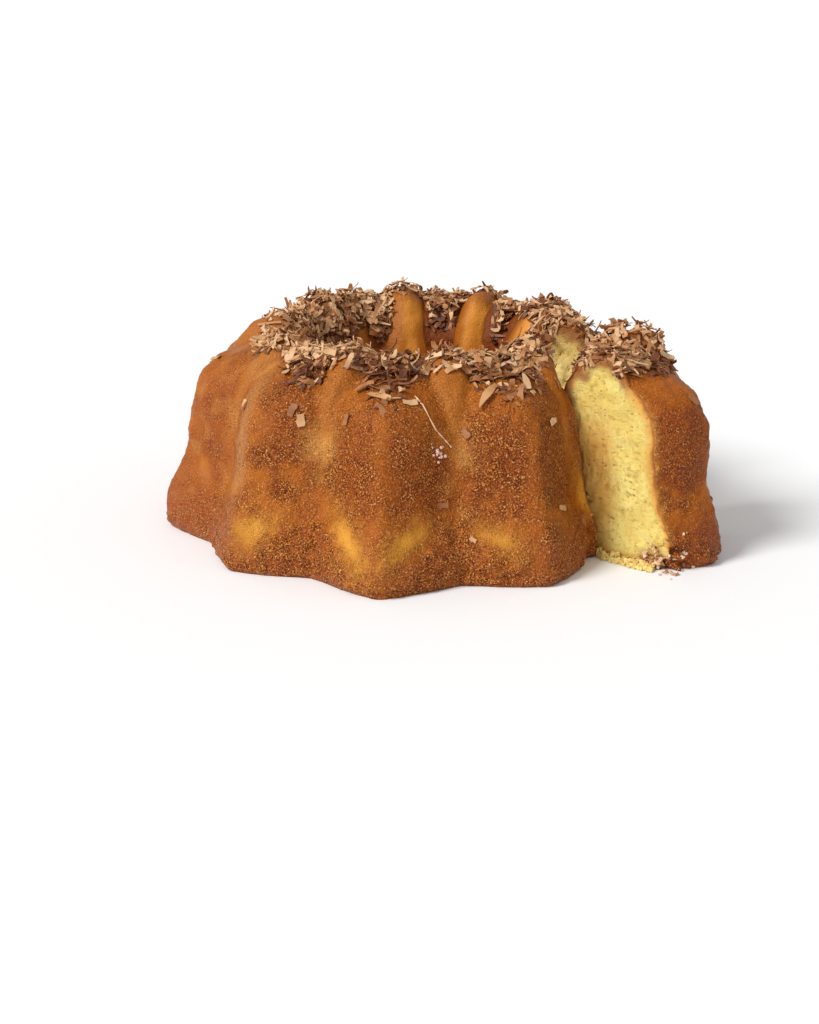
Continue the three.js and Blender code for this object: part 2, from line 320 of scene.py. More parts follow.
# Large single shavings, as angle, way, height above the cake, length, width, direction, tilt and kind
PLACED = [
    (-44, 86, 3, 15, 2.6, 0, 18, 0), (-93, 88, 3, 6, 1.3, 90, 75, 0), (-98, 87, 3.6, 10, 2, -8, 0, 0),
    (-112.5, 80.5, 2.6, 7, 2, 85, 10, 0), (-72, 69, 1.2, 12, 3, 50, 3, 0),
    (-137, 81, 2.4, 8, 4, 100, 10, 0), (-133, 79, 2.2, 7, 3.5, 55, 6, 0), (152, 84, 3, 8, 0.7, 90, 70, 2),
    (97, 83.5, 2.4, 9, 2, 15, 12, 0), (103, 83, 2.2, 8, 1.8, 160, 14, 0),
    (-39.6, 83, 2.6, 8, 3.2, 60, 8, 0), (-33.5, 80, 2.8, 9, 3.6, 8, 8, 0),
    (-31, 78, 2.2, 8, 3.4, 125, 6, 0), (-60, 72, 1.6, 9, 2.4, 70, 6, 0),
    (-105, 72, 1.8, 8, 2.6, 30, 6, 1),
]
PLACED_CURL = 0.6

# Stray shavings on the crust, as angle and way
STRAYS = [
    (-168, 68), (-123.5, 62), (-121, 59), (-108, 61), (-92.6, 67), (-78.4, 57), (-56.7, 58), (-46.2, 71),
    (-56.5, 24), (-85, 30), (-78.7, 17), (-46, 16), (-140, 60), (-30, 62), (40, 64), (75, 58), (100, 45),
    (128, 62), (152, 55), (170, 30), (20, 40),
]
STRAY_LONG = (3.6, 6)
STRAY_WIDE = (1.9, 3)
STRAY_HEIGHT = 0.15

# Crumbs round the crumbled corners: how many, and how far they are spread on crust, cut and floor
RING_CRUMBS = 16
SLICE_CRUMBS = 50
CRUMB_SIZE = (0.25, 0.9)
CRUMB_SHARP = 25
CRUMB_LIES = 0.3
CRUST_SPREAD = (3, 6)
CUT_SPREAD = (6, 5)
FLOOR_SPREAD = 2.5
FLOOR_BEARING = (-20, 95)
FLOOR_RADIUS = 93
BALL_STRETCH = (0.65, 1.3)

# Crumbs up the edge of the ring's near cut
EDGE_CRUMBS = 10
EDGE_SPREAD = 1.2
EDGE_WAYS = (16, 27)

# Crumb that has broken off at the foot of the slice's near cut
SPILL = 360
SPILL_RADII = (62, 90)
SPILL_BEGINS = (58, 70)
SPILL_OUT = 4.2
SPILL_HIGH = 2.6
SPILL_SIZE = (0.3, 1.15)

# A thread of glaze, as angle and way, and a spot of drops, coloured pale partly as painted highlights
THREAD = [(-91.5, 70), (-89.4, 66.8), (-86.3, 58.7), (-84, 55), (-82.3, 52)]
THREAD_RADIUS = 0.34
THREAD_LIFT = 0.2
THREAD_BEADS = 4.3
THREAD_STEPS = 60
THREAD_SIDES = 8
DROPS = 16
DROP_SIZE = (0.3, 0.75)
DROP_PLACE = (-86.3, 50.7)
DROP_SPREAD = (1.6, 2.2)

# Wet spots on the crust, as angle, way and size
WET_SPOTS = [(60, 50, 6), (130, 45, 6)]

# Colours laid over the crust where its masks are, with their shares; the tint of the grooves carries a
# painted highlight and the inside tint partly painted light
CRUST_TINTS = [
    ("groove_and_highlight", 0.7, (216, 153, 76)), ("petals", 0.85, (173, 101, 33)), ("inside", 1, (236, 156, 60)),
    ("skirt", 0.75, (152, 74, 30)), ("glow", 1, (223, 156, 52)),
]

# The camera
IMAGE = (819, 1024)
FOCAL_PIXELS = 1325.95
CAMERA_PLACE = (-11.2, -560.35, 178.64)
CAMERA_PITCH = 17.816
SENSOR = 36

# The floor, the sun's strength, softness and turn, and the sky's strength as light and as it is seen
FLOOR_REACH = 40000
FLOOR_BELOW = 0.2
KEY_STRENGTH = 2.7
KEY_SOFTNESS = 22
KEY_TURN = (50, 0, -58)
SKY_STRENGTH = (0.5, 1.05)


def srgb(red, green, blue):
    """A colour given from 0 to 255 as a linear one."""
    shares = np.array([red, green, blue]) / 255
    linear = np.where(shares <= 0.04045, shares / 12.92, ((shares + 0.055) / 1.055) ** 2.4)
    return (*linear.tolist(), 1.0)


def read(table, way):
    """Straight-line reading of a table, averaged a little to both sides."""
    places, values = zip(*table)
    taps = [np.interp(way + tap * TABLE_SOFTNESS, places, values) for tap in range(-2, 3)]
    return sum(taps) / len(taps)


def smooth_max(a, b, softness):
    share = np.clip(0.5 + 0.5 * (a - b) / softness, 0, 1)
    return b + (a - b) * share + softness * share * (1 - share)


def smooth_step(low, high, value):
    share = np.clip((value - low) / (high - low), 0, 1)
    return share * share * (3 - 2 * share)


def band(value, first, full, fading, last):
    """0 up to first, 1 from full to fading, and 0 from last on."""
    return smooth_step(first, full, value) * smooth_step(last, fading, value)


def wrapped(angle):
    """An angle as one between -180 and 180."""
    return (angle + 180) % 360 - 180


def bell(gap, wide):
    """1 at no gap, falling off to both sides."""
    return np.exp(-((gap / wide) ** 2))


def near_angle(angle, at, wide):
    """1 at an angle round the ring, falling off to both sides of it."""
    return bell(wrapped(angle - at), wide)


def near_places(angle, way, table):
    """The shares of a table's places, each falling off to all sides."""
    return sum(
        share * near_angle(angle, at, wide) * bell(way - at_way, tall)
        for at, wide, at_way, tall, share in table
    )


def mostly_small(draw, sizes, count, power):
    """Seeded sizes between two, with more of the small ones."""
    return sizes[0] + (sizes[1] - sizes[0]) * draw.random(count) ** power


def belt(numbers):
    """Quads between the rows of a grid of point numbers, each row closed on itself."""
    following = np.roll(numbers, -1, axis=1)
    return np.stack([numbers[:-1], following[:-1], following[1:], numbers[1:]], -1).reshape(-1, 4)


def unit(vectors):
    return vectors / np.linalg.norm(vectors, axis=-1, keepdims=True)


def field(points, wavelength, seed, waves=30):
    """Smooth seeded unevenness of about that wavelength, mostly between -1 and 1."""
    draw = np.random.default_rng(seed)
    ways = draw.normal(size=(waves, 3))
    turns = draw.uniform(0.7, 1.4, waves) * 2 * np.pi / wavelength
    ways *= (turns / np.linalg.norm(ways, axis=1))[:, None]
    shifts = draw.uniform(0, 2 * np.pi, waves)
    flat = points.reshape(-1, 3)
    total = np.cos(flat @ ways.T + shifts).sum(1) / math.sqrt(waves)
    return total.reshape(points.shape[:-1])


def uneven_by(points, relief, seed):
    """Unevenness of a wavelength and a height."""
    wavelength, height = relief
    return height * field(points, wavelength, seed)


def fine_line():
    """The petal line as many points, their run along it and their direction."""
    knots = np.array([PETAL_LINE[0], *PETAL_LINE, PETAL_LINE[-1]], float)
    fine = np.linspace(0, len(PETAL_LINE) - 1, LINE_STEPS)
    first = np.minimum(fine.astype(int), len(PETAL_LINE) - 2)
    u = (fine - first)[:, None]
    a, b, c, d = (knots[first + k] for k in range(4))
    cubic = (3 * b - a - 3 * c + d) * u**3
    points = 0.5 * (2 * b + (c - a) * u + (2 * a - 5 * b + 4 * c - d) * u**2 + cubic)
    run = np.concatenate([[0], np.cumsum(np.hypot(*np.diff(points, axis=0).T))])
    return points, run, np.gradient(points, run, axis=0)


LINE_POINTS, LINE_RUN, LINE_DIRECTIONS = fine_line()
LINE_CREST_RUN = LINE_RUN[np.argmax(LINE_POINTS[:, 1])]


def stations(run):
    """What the petal line is at some runs along it."""
    columns = (*LINE_POINTS.T, *LINE_DIRECTIONS.T)
    r, z, along_r, along_z = (np.interp(run, LINE_RUN, column) for column in columns)
    return {
        "r": r,
        "z": z,
        "out_r": along_z,
        "out_z": -along_r * np.minimum(1, z / FOOT_UPRIGHT),
        "way": np.where(run <= LINE_CREST_RUN, z, 2 * CREST - z),
    }


LINE_WAYS = stations(LINE_RUN)["way"]


def run_of_way(way):
    """How far along the petal line a way lies."""
    return np.interp(way, LINE_WAYS, LINE_RUN)


def flute_at(angle):
    """The number of the flute at an angle, with a share of the next."""
    turned = np.radians(angle - FIRST_RIDGE)
    return (turned + CROWDING * np.sin(turned)) * FLUTES / (2 * np.pi)


def angle_of_flute(flute):
    """The angle at which a flute lies, found by steps."""
    wanted = flute * 2 * np.pi / FLUTES
    turned = wanted
    for _ in range(8):
        turned = wanted - CROWDING * np.sin(turned)
    return FIRST_RIDGE + np.degrees(turned)


def from_ridge(angle):
    """How far an angle is from its ridge, 0 on it and 1 in a petal, and on which side of it."""
    flute = flute_at(angle)
    nearest = np.round(flute)
    return 2 * np.abs(flute - nearest), np.sign(flute - nearest)


def turned_flutes(angle, way):
    """The angle that counts for the flutes, which are turned a little at the far side of the crown."""
    turn = sum(most * near_angle(angle, at, wide) for at, wide, most in FAR_TURNS)
    return angle + turn * smooth_step(*TURNED_WAYS, way)


def layers(angle, line):
    """How far lobes, petals and heap each stand out of the petal line."""
    way = line["way"]
    apart, _ = from_ridge(turned_flutes(angle, way))
    rounded = np.hypot(apart, RIDGE_ROUNDING) - RIDGE_ROUNDING
    gable = smooth_max(1 - rounded / GABLE_REACH, 0, GABLE_SOFTNESS)
    dome = 1 - apart**DOME_POWER
    shape = gable + (dome - gable) * read(GABLE_TO_DOME, way)
    uneven = 1 + UNEVEN_RIDGES * np.cos(UNEVEN_WAVES * np.radians(angle - TALLEST_RIDGE))
    ridge = read(LOBE_RIDGE, way)
    ridge = np.where(ridge > 0, ridge * uneven, ridge)
    edge = read(LOBE_EDGE, way)
    lobe = edge + (ridge - edge) * shape
    half_flute = np.pi * line["r"] / FLUTES
    across = np.minimum((1 - apart) * half_flute / read(PETAL_HALF_WIDTH, way), PETAL_REACH)
    petal = read(PETAL_SINK, way) - PETAL_DROP * across**PETAL_POWER
    heap = HEAP_LEVEL - HEAP_FALL * ((way - HEAP_WAY) / HEAP_REACH) ** HEAP_POWER
    return lobe, petal, heap + 0 * apart


def drawn_in(angle, way):
    """How far the surface is drawn in, at the near cut less on the slice's side of it."""
    total = 0
    past_cut = wrapped(angle - CUT_NEAR) > KNIFE_CUT / 2
    for at, wide, depth, past, ways in DRAWN_IN:
        near = near_angle(angle, at, wide) * np.where(past_cut, past, 1)
        total = total + depth * near * read(ways, way)
    return total


def at_angle(angle, radius, height):
    """Points at an angle round the ring's axis."""
    turned = np.radians(angle)
    x = AXIS[0] + radius * np.cos(turned)
    y = AXIS[1] + radius * np.sin(turned)
    return np.stack(np.broadcast_arrays(x, y, height), -1)


def cut_ways(angle):
    """The directions along a cut and across it, to growing angles."""
    turned = math.radians(angle)
    along = np.array([math.cos(turned), math.sin(turned), 0])
    return along, np.array([-along[1], along[0], 0])


def put(angle, line, out):
    """The points that stand out of the petal line by so much."""
    out = out - drawn_in(angle, line["way"])
    r = line["r"] + out * line["out_r"]
    z = np.maximum(0, line["z"] + out * line["out_z"]) * (1 + LEAN * np.sin(np.radians(angle)))
    return at_angle(angle, r, z)


def ledge_height(apart, points):
    """How high the ledge round the foot reaches."""
    ragged = uneven_by(points, LEDGE_WAVER, 5) + uneven_by(points, LEDGE_TEETH, 7)
    return LEDGE_HEIGHT + LEDGE_RISE * apart + ragged


def crust(angle, line):
    """The baked surface with its relief, and the masks that its colours follow."""
    apart, _ = from_ridge(angle)
    turned_apart, side = from_ridge(turned_flutes(angle, line["way"]))
    lobe, petal, heap = layers(angle, line)
    bare = smooth_max(lobe, petal, JOIN_SOFTNESS)
    smooth = smooth_max(bare, heap, JOIN_SOFTNESS)
    points = put(angle, line, smooth)
    way = line["way"] + 0 * apart
    outside = 1 - smooth_step(*INSIDE_WAYS, way)
    above = way - ledge_height(apart, points)
    skirt = smooth_step(LEDGE_STEP / 2, -LEDGE_STEP / 2, above) * outside
    petals = smooth_step(*PETAL_EDGE, petal - lobe)
    relief = uneven_by(points, LUMPS, 1) + uneven_by(points, WAVES, 2)
    relief += uneven_by(points, GRAIN, 3) * (1 - 0.7 * petals)
    relief += skirt * (LEDGE_OUT + uneven_by(points, SKIRT_LUMPS, 4) + uneven_by(points, SKIRT_GRAIN, 6))
    relief *= RELIEF_AT_FOOT + (1 - RELIEF_AT_FOOT) * smooth_step(0, RELIEF_FULL_FROM, line["z"])
    masks = crust_masks(angle, way, points, above, outside)
    # On the slice's side the crust is painted browner and its petals less orange, partly as painted shade
    brown_and_shade_side = near_angle(angle, *BROWN_AND_SHADE_SIDE)
    low_down = np.maximum(skirt, 0.85 * smooth_step(*SKIRT_WAYS, way) * outside)
    masks["skirt"] = low_down * (1 - 0.6 * smooth_step(*SKIRT_THINS, way)) * (1 - 0.8 * masks["glow"])
    masks["skirt"] *= 1 - 0.6 * brown_and_shade_side
    masks["petals"] = petals * (1 - 0.5 * brown_and_shade_side) * (1 - masks.pop("local"))
    masks["grain"] *= (1 - (0.7 - 0.4 * outside) * petals) * (1 - 0.6 * masks["glow"])
    # Down the hole the petals and the bare crust get a lighter orange, partly their own colour and partly
    # painted light against the hole's shade
    bare_inside = near_angle(angle, *BARE_INSIDE) * smooth_step(*BARE_WAYS, way)
    # On that flank the inside petals are painted darker, a painted shade against the key light
    painted_shade_flank = smooth_step(*PETAL_SHADE, side * (turned_apart - 1))
    masks["inside"] = np.maximum(petals * (1 - painted_shade_flank), 0.9 * bare_inside) * (1 - outside)
    masks["heaped"] = smooth_step(*HEAP_EDGE, heap - bare) * (1 - 0.8 * bare_inside)
    masks["glow"] *= 1 - 0.5 * skirt
    return put(angle, line, smooth + relief), masks


def patches(angle, way, points):
    """How much of a pale patch there is."""
    total = np.zeros_like(angle + way)
    ragged = 1 + sum(uneven_by(points, row, 13 + number) for number, row in enumerate(PATCH_RAGGED))
    for at, height, long, wide, lean, strength in PATCHES:
        across = np.radians(wrapped(angle - at)) * RIM_RADIUS
        up = way - height
        turned = math.radians(lean)
        lengthwise = (across * math.cos(turned) + up * math.sin(turned)) / long
        crosswise = (up * math.cos(turned) - across * math.sin(turned)) / wide
        total += strength * np.exp(-((lengthwise**2 + crosswise**2) * ragged))
    return np.clip(total, 0, 1)


def browning_and_shade(angle, way, points, outside):
    """How brown the crust has baked on its flanks, round the shavings and low down, more on one side,
    with painted shade laid in on the right flanks, just below the shavings and on the slice's side.
    """
    apart, side = from_ridge(angle)
    pale_side, brown_and_shade_side = (near_angle(angle, *place) for place in (PALE_SIDE, BROWN_AND_SHADE_SIDE))
    mottle = field(points, MOTTLE, 12)
    ragged = way + BROWNED_MOTTLE * mottle + uneven_by(points, BROWNED_RAGGED, 15)
    ragged = ragged - HIGHER_BY * near_angle(angle, *HIGHER_BROWN)
    middle = band(ragged, *BROWNED_WAYS) * outside
    # Both flanks are browned, the right ones partly as painted shade, and the ridge between them stays
    # lighter, partly a painted highlight
    signed = side * apart + 0.04 * mottle
    left = band(-signed, *LEFT_FLANK) * (1 - 0.6 * near_angle(angle, *PALE_FLANK))
    flanks = np.clip(0.25 + 0.85 * band(signed, *SHADED_RIGHT_FLANK) + 0.9 * left, 0, 1)
    to_heap = np.interp(angle, *zip(*HEAP_OUTER), period=360) - way
    # Just below the shavings' edge the crust is darker, partly stain and partly painted shade under the
    # shavings
    stain_and_shade = smooth_step(*STAIN_AND_SHADE_REACH, to_heap) * smooth_step(*STAIN_AND_SHADE_FLANK, apart) * outside
    lighter = 1 - 0.7 * brown_and_shade_side * bell(way - LIGHTER_WAY[0], LIGHTER_WAY[1])
    below = smooth_step(BROWNED_WAYS[3], BROWNED_WAYS[2], way) * lighter * outside
    browned_and_shade = middle * flanks * (0.95 + 0.2 * field(points, BLOTCH, 11)) + 0.3 * stain_and_shade
    browned_and_shade += 0.35 * brown_and_shade_side * below + 0.14 * mottle
    browned_and_shade *= 1 - 0.6 * pale_side
    browned_and_shade += (0.45 + 0.25 * pale_side) * smooth_step(*BROWN_LOW, way) * lighter * outside
    return browned_and_shade + 0.5 * brown_and_shade_side * smooth_step(*BROWN_FOOT, way) * outside


def crust_masks(angle, way, points, above, outside):
    """How brown, pale, grainy and wet the crust is, with painted shade in the brown and painted
    highlights on the grooves and pale places.
    """
    apart, _ = from_ridge(angle)
    pale_side, brown_and_shade_side = (near_angle(angle, *place) for place in (PALE_SIDE, BROWN_AND_SHADE_SIDE))
    mottle = field(points, MOTTLE, 12)
    local = near_places(angle, way, BROWNED_AND_PAINTED_LIGHT_PLACES) * outside
    browned_and_shade = browning_and_shade(angle, way, points, outside) + local
    # The grooves are painted lighter round one way, a painted highlight that changes round the ring
    painted_highlight = bell(way - HIGHLIGHT_WAY[0], HIGHLIGHT_WAY[1]) * (0.55 + 0.45 * np.sin(angle / HIGHLIGHT_WAVE))
    groove_and_highlight = smooth_step(GROOVE_FROM, 1, apart) * band(way, *GROOVE_WAYS)
    groove_and_highlight = groove_and_highlight * (0.1 + 0.3 * mottle + painted_highlight) * (1 - 0.8 * pale_side)
    for at, wide, ways, share in PALE_AND_HIGHLIGHT_PLACES:
        groove_and_highlight += share * near_angle(angle, at, wide) * band(way, *ways)
    groove_and_highlight += 0.3 * pale_side * smooth_step(0.2, 1, field(points, FLECKS, 16))
    groove_and_highlight = np.clip(groove_and_highlight * outside, 0, 1)
    grain = 0.8 + 0.45 * browned_and_shade - 0.3 * groove_and_highlight + 0.15 * mottle + 0.75 * smooth_step(*LEDGE_GRAIN, above)
    grain = np.clip(grain, 0, 1.7) * (1 - 0.6 * pale_side) * (1 - 0.5 * brown_and_shade_side)
    wet = np.zeros_like(apart + way)
    for spot_angle, spot_way, spot_size in WET_SPOTS:
        across = np.radians(angle - spot_angle) * RIM_RADIUS
        wet = np.maximum(wet, bell(np.hypot(across, way - spot_way), spot_size))
    return {
        "browned_and_shade": np.clip(browned_and_shade, 0, 1),
        "local": np.clip(local, 0, 1),
        "glow": patches(angle, way, points) * outside,
        "groove_and_highlight": groove_and_highlight,
        "grain": grain,
        "wet": wet,
    }


def chipped(points, cut, into, chip, seed):
    """Points moved back where the foot's corner at a cut has crumbled."""
    reach, depth, turn, rise = chip
    corner = at_angle(cut, CHIP_RADIUS, 0)
    inward = unit(at_angle(cut + into * turn, CHIP_RADIUS - CHIP_INWARD, rise) - corner)
    near = smooth_step(reach, 0, np.linalg.norm(points - corner, axis=-1))
    uneven = 1 + uneven_by(points, CHIP_LUMPS, seed)
    return points + (depth * near * uneven)[..., None] * inward


def section_runs(step):
    """Runs along the petal line: close outside and over the crown, further apart down the hole."""
    total = LINE_RUN[-1]
    turn = run_of_way(HOLE_WAY)
    outer = np.linspace(0, turn, round(turn / step), endpoint=False)
    inner = np.linspace(turn, total, round((total - turn) / (step * HOLE_COARSER)))
    return np.concatenate([outer, inner])


def cut_relief(points, depth, seed):
    """How far the points of a cut face lie inside the plane of the cut, and how far of it in pits."""
    draw = np.random.default_rng(seed)
    inward = CUT_LUMPS[1] + uneven_by(points, CUT_LUMPS, seed)
    inward += CUT_TEARS[1] + uneven_by(points * np.array([1, 1, TEAR_FLATNESS]), CUT_TEARS, seed + 1)
    flat = points.reshape(-1, 3)
    ring = ((1 - np.sqrt(draw.random(PITS_PER_CUT))) * len(points)).astype(int)
    spots = points[ring, draw.integers(0, points.shape[1], PITS_PER_CUT)]
    radii = mostly_small(draw, PIT_RADIUS, PITS_PER_CUT, 2.5)
    stretch = draw.uniform(1, PIT_STRETCH, PITS_PER_CUT)
    pits = np.zeros(len(flat))
    torn = 1 + uneven_by(flat, PIT_RAGGED, seed + 2)
    for spot, radius, tall in zip(spots, radii, stretch):
        gap = (flat - spot) / np.array([1, 1, tall])
        near = np.einsum("ij,ij->i", gap, gap) / radius**2 * torn
        pits = np.maximum(pits, PIT_DEPTH * radius * np.clip(1 - near, 0, 1) ** 0.7)
    pits = pits.reshape(depth.shape) * smooth_step(*PIT_EDGE, depth)
    edge = CUT_ROUNDING[1] * np.clip(1 - depth / CUT_ROUNDING[0], 0, 1) ** 2
    return inward + pits + edge, pits


def cut_face(loop, loop_way, angle, turn, rings, seed, sliced):
    """A cut face's points inside its outline, its middle last, and the masks that its colours follow."""
    outward = turn * cut_ways(angle)[1]
    centre = at_angle(angle, *CUT_CENTRE)
    shares = 1 - np.arange(1, rings) / rings
    plane = centre + shares[:, None, None] * (loop - centre)
    depth = (1 - shares)[:, None] * np.linalg.norm(loop - centre, axis=1)
    inward, pits = cut_relief(plane, depth, seed)
    from_corner = np.linalg.norm(plane - at_angle(angle, CORNER_BROWN_RADIUS, 0), axis=-1)
    corner = smooth_step(*CORNER_BROWN, from_corner + uneven_by(plane, CORNER_RAGGED, 91))
    ragged = depth + uneven_by(plane, SMEAR_RAGGED, 90)
    smear_and_dark_corner = band(loop_way, *SMEAR_WAYS) * smooth_step(*SMEAR_DEPTH, ragged)
    smear_and_dark_corner = np.maximum(smear_and_dark_corner, 0.8 * corner * sliced) * (turn < 0)
    points = plane - inward[..., None] * outward
    radii = np.hypot(points[..., 0] - AXIS[0], points[..., 1] - AXIS[1])
    # The part of the slice's near cut beside the ring gets painted warm shade
    painted_warm_shade = smooth_step(*PAINTED_SHADE_RADII, radii) * smooth_step(*PAINTED_SHADE_HEIGHTS, points[..., 2])
    masks = {
        "depth": np.append(depth, depth.max()),
        "pits": np.append(pits, 0),
        "smear_and_dark_corner": np.append(smear_and_dark_corner, 0),
        "painted_warm_shade": np.append(painted_warm_shade * (sliced and turn < 0), 0),
    }
    return np.concatenate([points.reshape(-1, 3), [centre - CUT_LUMPS[1] * outward]]), masks


def cut_quads(outline, rings, start, turn):
    """Faces from a cut's outline inwards and a fan round its middle, with new points from start on."""
    rows = len(outline)
    inside = start + np.arange((rings - 1) * rows).reshape(-1, rows)
    quads = belt(np.concatenate([[outline], inside]))
    fan = np.stack([inside[-1], np.roll(inside[-1], -1), np.full(rows, inside[-1, -1] + 1)], -1)
    return [quads[:, ::-turn], fan[:, ::-turn]]


def wedge(from_angle, to_angle, step, rings, seed, sliced):
    """A closed wedge of the ring: crust, underside and two cut faces."""
    columns = round(math.radians(to_angle - from_angle) * RIM_RADIUS / step) + 1
    angles = np.linspace(from_angle, to_angle, columns)[:, None]
    line = stations(section_runs(step))
    skin, crust_values = crust(angles, line)
    foot_in, foot_out = skin[:, -1:], skin[:, :1]
    shares = (np.arange(1, BASE_ROWS) / BASE_ROWS)[None, :, None]
    grid = np.concatenate([skin, foot_in + (foot_out - foot_in) * shares], axis=1)
    rows = grid.shape[1]
    under = ((0, 0), (0, BASE_ROWS - 1))
    values = {name: [np.pad(mask, under, mode="edge").ravel()] for name, mask in crust_values.items()}
    loop_way = np.pad(line["way"], (0, BASE_ROWS - 1))
    numbers = np.arange(columns * rows).reshape(columns, rows)
    faces = [np.roll(belt(numbers)[:, ::-1], 1, axis=1)]
    cuts = []
    for column, angle, turn in ((0, from_angle, -1), (columns - 1, to_angle, 1)):
        points, masks = cut_face(grid[column], loop_way, angle, turn, rings, seed + 7 * turn, sliced)
        edge_in = CUT_ROUNDING[1] + CUT_LUMPS[1] + CUT_TEARS[1]
        grid[column] -= edge_in * turn * cut_ways(angle)[1]
        for name, mask in masks.items():
            values.setdefault(name, [np.zeros(columns * rows)]).append(mask)
        values["smear_and_dark_corner"][0][numbers[column]] = masks["smear_and_dark_corner"][:rows]
        for name in crust_values:
            values[name].append(np.zeros(len(points)))
        faces += cut_quads(numbers[column], rings, columns * rows + sum(map(len, cuts)), turn)
        cuts.append(points)
    kinds = np.repeat([0, 1], [len(faces[0]), sum(map(len, faces[1:]))])
    values = {name: np.concatenate(parts) for name, parts in values.items()}
    return np.concatenate([grid.reshape(-1, 3), *cuts]), faces, kinds, values


def add_object(name, data):
    """A new object in the scene."""
    made = bpy.data.objects.new(name, data)
    bpy.context.scene.collection.objects.link(made)
    return made


def mesh_piece(name, points, face_groups, materials, kinds=None, values=None, sharp_from=None):
    """A mesh object from points in millimetres, groups of faces of one size and values at the points."""
    sizes = np.concatenate([np.full(len(group), group.shape[1]) for group in face_groups])
    corners = np.concatenate([group.ravel() for group in face_groups])
    mesh = bpy.data.meshes.new(name)
    mesh.vertices.add(len(points))
    mesh.vertices.foreach_set("co", (points * MM).astype(np.float32).ravel())
    mesh.loops.add(len(corners))
    mesh.loops.foreach_set("vertex_index", corners.astype(np.int32))
    mesh.polygons.add(len(sizes))
    mesh.polygons.foreach_set("loop_start", (np.cumsum(sizes) - sizes).astype(np.int32))
    if kinds is not None:
        mesh.polygons.foreach_set("material_index", kinds.astype(np.int32))
    for label, value in (values or {}).items():
        attribute = mesh.attributes.new(label, "FLOAT", "POINT")
        attribute.data.foreach_set("value", np.asarray(value, np.float32))
    mesh.update(calc_edges=True)
    mesh.validate()
    mesh.shade_smooth()
    if sharp_from is not None:
        mesh.set_sharp_from_angle(angle=math.radians(sharp_from))
    for material in materials:
        mesh.materials.append(material)
    piece = add_object(name, mesh)
    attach(piece, "root")
    return piece


# Materials

def fill(tree, made, inputs):
    """Sets the inputs of a shader node, or links them where they are sockets."""
    for key, value in inputs.items():
        if isinstance(value, bpy.types.NodeSocket):
            tree.links.new(value, made.inputs[key])
        else:
            made.inputs[key].default_value = value


def node(tree, kind, inputs=None, **settings):
    """A new shader node with its settings and inputs."""
    made = tree.nodes.new("ShaderNode" + kind)
    for name, value in settings.items():
        setattr(made, name, value)
    fill(tree, made, inputs or {})
    return made


def new_material(name):
    """A material, its node tree and its shader."""
    material = bpy.data.materials.new(name)
    material.use_nodes = True
    return material, material.node_tree, material.node_tree.nodes["Principled BSDF"]


def place_on(tree):
    return node(tree, "TexCoord").outputs["Object"]


def mask_of(tree, name):
    return node(tree, "Attribute", attribute_name=name).outputs["Fac"]


def noise(tree, place, scale, detail=3.0, roughness=0.55):
    inputs = {"Vector": place, "Scale": scale, "Detail": detail, "Roughness": roughness}
    return node(tree, "TexNoise", inputs).outputs["Fac"]


def ramp(tree, value, low, high, to_low=0.0, to_high=1.0):
    inputs = {"Value": value, "From Min": low, "From Max": high, "To Min": to_low, "To Max": to_high}
    return node(tree, "MapRange", inputs).outputs["Result"]


def maths(tree, operation, a, b):
    return node(tree, "Math", {0: a, 1: b}, operation=operation).outputs[0]


def times(tree, a, b):
    return maths(tree, "MULTIPLY", a, b)


def over(tree, share, under, tint):
    """Under with a tint laid over it by a share."""
    return node(tree, "Mix", {0: share, 6: under, 7: tint}, data_type="RGBA").outputs[2]


def over_mask(tree, name, share, under, tint):
    """Under with a tint laid over it by a share of a mask."""
    return over(tree, times(tree, mask_of(tree, name), share), under, tint)


def bump(tree, strength, distance, height):
    inputs = {"Strength": strength, "Distance": distance * MM, "Height": height}
    return node(tree, "Bump", inputs).outputs[0]


def crust_material():
    material, tree, shader = new_material("crust")
    place = place_on(tree)
    broad = noise(tree, place, 60, 4)
    patchy = noise(tree, place, 260, 4, 0.6)
    pores = noise(tree, place, 1500, 2, 0.6)
    painted_glint = noise(tree, place, 1700, 1, 0.5)
    grain = times(tree, mask_of(tree, "grain"), ramp(tree, patchy, 0.36, 0.62, 0.35, 1.2))
    colour = over(tree, ramp(tree, broad, 0.35, 0.65), srgb(158, 79, 14), srgb(178, 99, 22))
    # This brown darkens the crust both for its baking and as painted shade
    browned_and_shade = times(tree, mask_of(tree, "browned_and_shade"), ramp(tree, patchy, 0.3, 0.62, 0.6, 1.15))
    colour = over(tree, browned_and_shade, colour, srgb(128, 54, 8))
    for name, share, tint in CRUST_TINTS:
        colour = over_mask(tree, name, share, colour, srgb(*tint))
    dark = times(tree, grain, ramp(tree, pores, 0.52, 0.34, 0, 0.7))
    colour = over(tree, dark, colour, srgb(90, 35, 6))
    pale = times(tree, grain, ramp(tree, pores, 0.52, 0.68, 0, 0.85))
    colour = over(tree, pale, colour, srgb(214, 134, 52))
    # Bright specks are painted glints
    bright = times(tree, grain, ramp(tree, painted_glint, 0.63, 0.73, 0, 0.9))
    colour = over(tree, bright, colour, srgb(242, 184, 112))
    colour = over(tree, mask_of(tree, "heaped"), colour, srgb(128, 64, 20))
    height = times(tree, pores, maths(tree, "ADD", grain, 0.25))
    height = maths(tree, "ADD", height, times(tree, patchy, 0.5))
    fill(tree, shader, {
        "Base Color": colour,
        "Roughness": ramp(tree, mask_of(tree, "wet"), 0, 1, 0.36, 0.14),
        "Specular IOR Level": 0.17,
        "Normal": bump(tree, 0.9, 0.8, height),
    })
    return material


